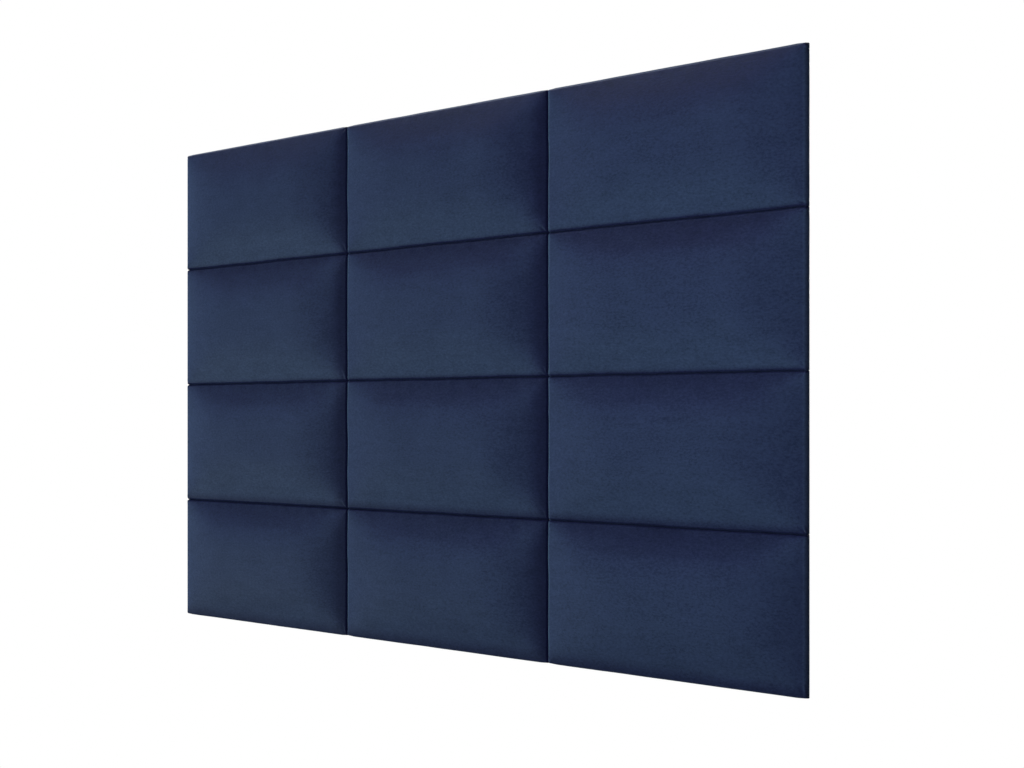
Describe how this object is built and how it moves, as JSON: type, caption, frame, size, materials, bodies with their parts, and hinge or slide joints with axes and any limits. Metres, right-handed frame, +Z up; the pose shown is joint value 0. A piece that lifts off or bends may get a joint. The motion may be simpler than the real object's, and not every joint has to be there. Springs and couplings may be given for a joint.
{
  "type": "padded wall panel set",
  "caption": "Grid of upholstered velvet wall panels, butted edge to edge; each is a padded board that pulls off a strip on the wall.",
  "frame": {"origin": "the middle of the whole set in width, height and depth; the wall is the plane Y = +0.019", "axes": "+X to the right as seen from the front, +Z up, and the padded fronts face -Y; row 1 is the top row and column 1 the left column"},
  "size_m": [1.799, 0.038, 1.199],
  "materials": {
    "navy_velvet": "matte",
    "upholstery_foam": "matte",
    "fibreboard": "matte",
    "hook_tape": "satin",
    "loop_tape": "matte"
  },
  "bodies": {
    "wall_strips": {"loop_strip_r1c1": "loop_tape", "loop_strip_r1c2": "loop_tape", "loop_strip_r1c3": "loop_tape", "loop_strip_r2c1": "loop_tape", "loop_strip_r2c2": "loop_tape", "loop_strip_r2c3": "loop_tape", "loop_strip_r3c1": "loop_tape", "loop_strip_r3c2": "loop_tape", "loop_strip_r3c3": "loop_tape", "loop_strip_r4c1": "loop_tape", "loop_strip_r4c2": "loop_tape", "loop_strip_r4c3": "loop_tape"},
    "panel_r1c1": {"velvet_cover_r1c1": "navy_velvet", "foam_pad_r1c1": "upholstery_foam", "backing_board_r1c1": "fibreboard", "hook_strip_r1c1": "hook_tape"},
    "panel_r1c2": {"velvet_cover_r1c2": "navy_velvet", "foam_pad_r1c2": "upholstery_foam", "backing_board_r1c2": "fibreboard", "hook_strip_r1c2": "hook_tape"},
    "panel_r1c3": {"velvet_cover_r1c3": "navy_velvet", "foam_pad_r1c3": "upholstery_foam", "backing_board_r1c3": "fibreboard", "hook_strip_r1c3": "hook_tape"},
    "panel_r2c1": {"velvet_cover_r2c1": "navy_velvet", "foam_pad_r2c1": "upholstery_foam", "backing_board_r2c1": "fibreboard", "hook_strip_r2c1": "hook_tape"},
    "panel_r2c2": {"velvet_cover_r2c2": "navy_velvet", "foam_pad_r2c2": "upholstery_foam", "backing_board_r2c2": "fibreboard", "hook_strip_r2c2": "hook_tape"},
    "panel_r2c3": {"velvet_cover_r2c3": "navy_velvet", "foam_pad_r2c3": "upholstery_foam", "backing_board_r2c3": "fibreboard", "hook_strip_r2c3": "hook_tape"},
    "panel_r3c1": {"velvet_cover_r3c1": "navy_velvet", "foam_pad_r3c1": "upholstery_foam", "backing_board_r3c1": "fibreboard", "hook_strip_r3c1": "hook_tape"},
    "panel_r3c2": {"velvet_cover_r3c2": "navy_velvet", "foam_pad_r3c2": "upholstery_foam", "backing_board_r3c2": "fibreboard", "hook_strip_r3c2": "hook_tape"},
    "panel_r3c3": {"velvet_cover_r3c3": "navy_velvet", "foam_pad_r3c3": "upholstery_foam", "backing_board_r3c3": "fibreboard", "hook_strip_r3c3": "hook_tape"},
    "panel_r4c1": {"velvet_cover_r4c1": "navy_velvet", "foam_pad_r4c1": "upholstery_foam", "backing_board_r4c1": "fibreboard", "hook_strip_r4c1": "hook_tape"},
    "panel_r4c2": {"velvet_cover_r4c2": "navy_velvet", "foam_pad_r4c2": "upholstery_foam", "backing_board_r4c2": "fibreboard", "hook_strip_r4c2": "hook_tape"},
    "panel_r4c3": {"velvet_cover_r4c3": "navy_velvet", "foam_pad_r4c3": "upholstery_foam", "backing_board_r4c3": "fibreboard", "hook_strip_r4c3": "hook_tape"}
  },
  "joints": [
    {"name": "pull_off_r1c1", "type": "slide", "parent": "wall_strips", "child": "panel_r1c1", "axis": [0, -1, 0], "range_m": [0, 0.08]},
    {"name": "pull_off_r1c2", "type": "slide", "parent": "wall_strips", "child": "panel_r1c2", "axis": [0, -1, 0], "range_m": [0, 0.08]},
    {"name": "pull_off_r1c3", "type": "slide", "parent": "wall_strips", "child": "panel_r1c3", "axis": [0, -1, 0], "range_m": [0, 0.08]},
    {"name": "pull_off_r2c1", "type": "slide", "parent": "wall_strips", "child": "panel_r2c1", "axis": [0, -1, 0], "range_m": [0, 0.08]},
    {"name": "pull_off_r2c2", "type": "slide", "parent": "wall_strips", "child": "panel_r2c2", "axis": [0, -1, 0], "range_m": [0, 0.08]},
    {"name": "pull_off_r2c3", "type": "slide", "parent": "wall_strips", "child": "panel_r2c3", "axis": [0, -1, 0], "range_m": [0, 0.08]},
    {"name": "pull_off_r3c1", "type": "slide", "parent": "wall_strips", "child": "panel_r3c1", "axis": [0, -1, 0], "range_m": [0, 0.08]},
    {"name": "pull_off_r3c2", "type": "slide", "parent": "wall_strips", "child": "panel_r3c2", "axis": [0, -1, 0], "range_m": [0, 0.08]},
    {"name": "pull_off_r3c3", "type": "slide", "parent": "wall_strips", "child": "panel_r3c3", "axis": [0, -1, 0], "range_m": [0, 0.08]},
    {"name": "pull_off_r4c1", "type": "slide", "parent": "wall_strips", "child": "panel_r4c1", "axis": [0, -1, 0], "range_m": [0, 0.08]},
    {"name": "pull_off_r4c2", "type": "slide", "parent": "wall_strips", "child": "panel_r4c2", "axis": [0, -1, 0], "range_m": [0, 0.08]},
    {"name": "pull_off_r4c3", "type": "slide", "parent": "wall_strips", "child": "panel_r4c3", "axis": [0, -1, 0], "range_m": [0, 0.08]}
  ]
}
